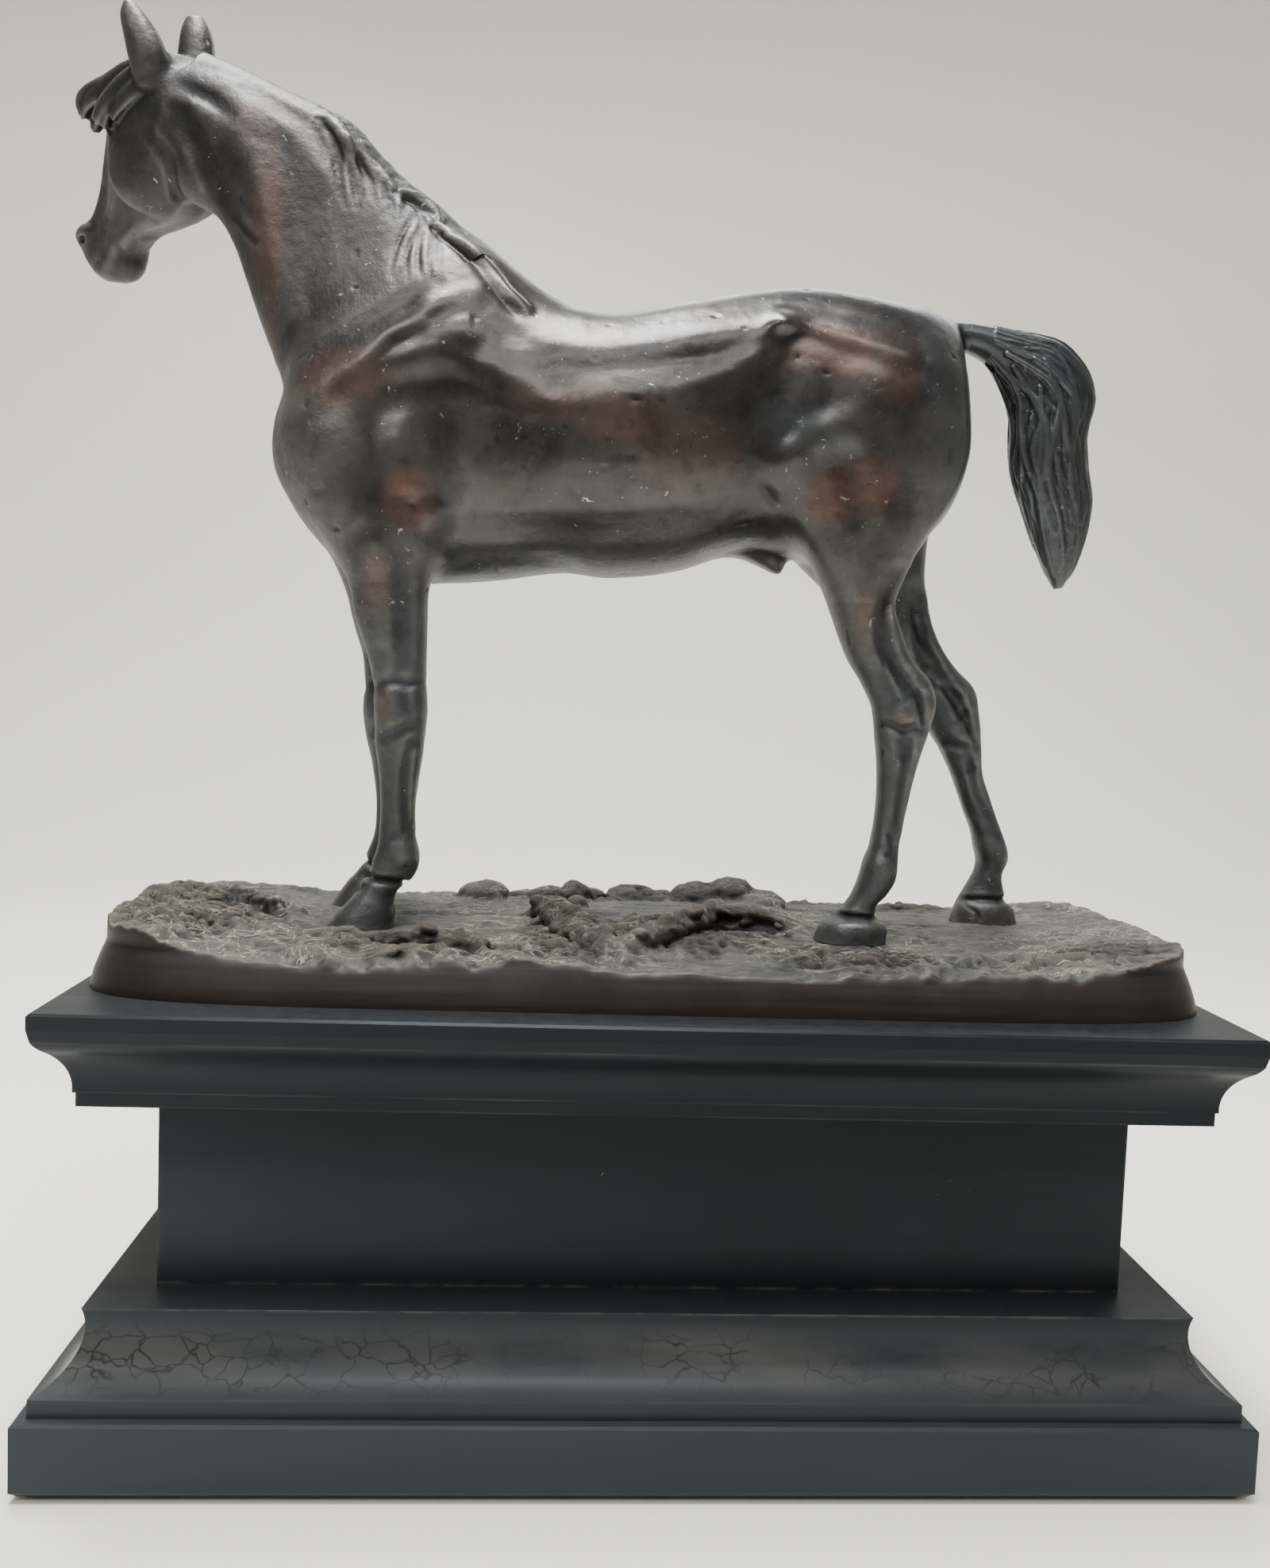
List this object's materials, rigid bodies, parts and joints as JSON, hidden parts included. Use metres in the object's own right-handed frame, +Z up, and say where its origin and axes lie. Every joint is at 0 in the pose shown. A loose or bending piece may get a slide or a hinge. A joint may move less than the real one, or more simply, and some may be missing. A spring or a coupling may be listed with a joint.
{
  "type": "horse figurine on plinth",
  "caption": "Standing horse in dark patinated cast bronze, head turned away, on a cast ground and a stepped black-lacquered wooden plinth.",
  "frame": {"origin": "middle of the plinth's underside, on the surface it stands on", "axes": "+X towards the horse's tail (it faces -X), +Y away from the front, towards the horse's right side, +Z up"},
  "size_m": [0.3301, 0.15, 0.386],
  "materials": {
    "body_bronze": "satin dark brown patina, rubbed reddish on high points",
    "dark_bronze": "matte blue-grey patina",
    "ground_bronze": "matte brown patina with dust in the hollows",
    "black_lacquer": "satin black lacquer, crazed on the foot moulding",
    "raw_wood": "planed, unfinished",
    "baize": "green wool baize",
    "steel_fixings": "plain steel"
  },
  "bodies": {
    "root": {"base_felt": "baize", "base_slab": "black_lacquer", "foot_moulding_front": "black_lacquer", "foot_moulding_back": "black_lacquer", "foot_moulding_left": "black_lacquer", "foot_moulding_right": "black_lacquer", "die_board_front": "black_lacquer", "die_board_back": "black_lacquer", "die_board_left": "black_lacquer", "die_board_right": "black_lacquer", "corner_blocks": "raw_wood", "cap_cleats": "raw_wood", "cap_moulding_front": "black_lacquer", "cap_moulding_back": "black_lacquer", "cap_moulding_left": "black_lacquer", "cap_moulding_right": "black_lacquer", "cap_board": "black_lacquer", "slab_screws": "steel_fixings", "cap_screws": "steel_fixings", "ground_casting": "ground_bronze", "ground_bolts": "steel_fixings", "ground_bolt_washers": "steel_fixings", "hoof_fore_left": "dark_bronze", "hoof_fore_right": "dark_bronze", "hoof_hind_left": "dark_bronze", "hoof_hind_right": "dark_bronze", "foreleg_left": "dark_bronze", "foreleg_right": "dark_bronze", "hindleg_left": "dark_bronze", "hindleg_right": "dark_bronze", "torso": "body_bronze", "neck": "body_bronze", "head": "body_bronze", "tail": "dark_bronze", "leg_studs": "steel_fixings", "stud_washers": "steel_fixings", "stud_nuts": "steel_fixings", "leg_pins": "steel_fixings", "neck_pins": "steel_fixings", "head_pin": "steel_fixings", "tail_pin": "steel_fixings"}
  },
  "joints": []
}
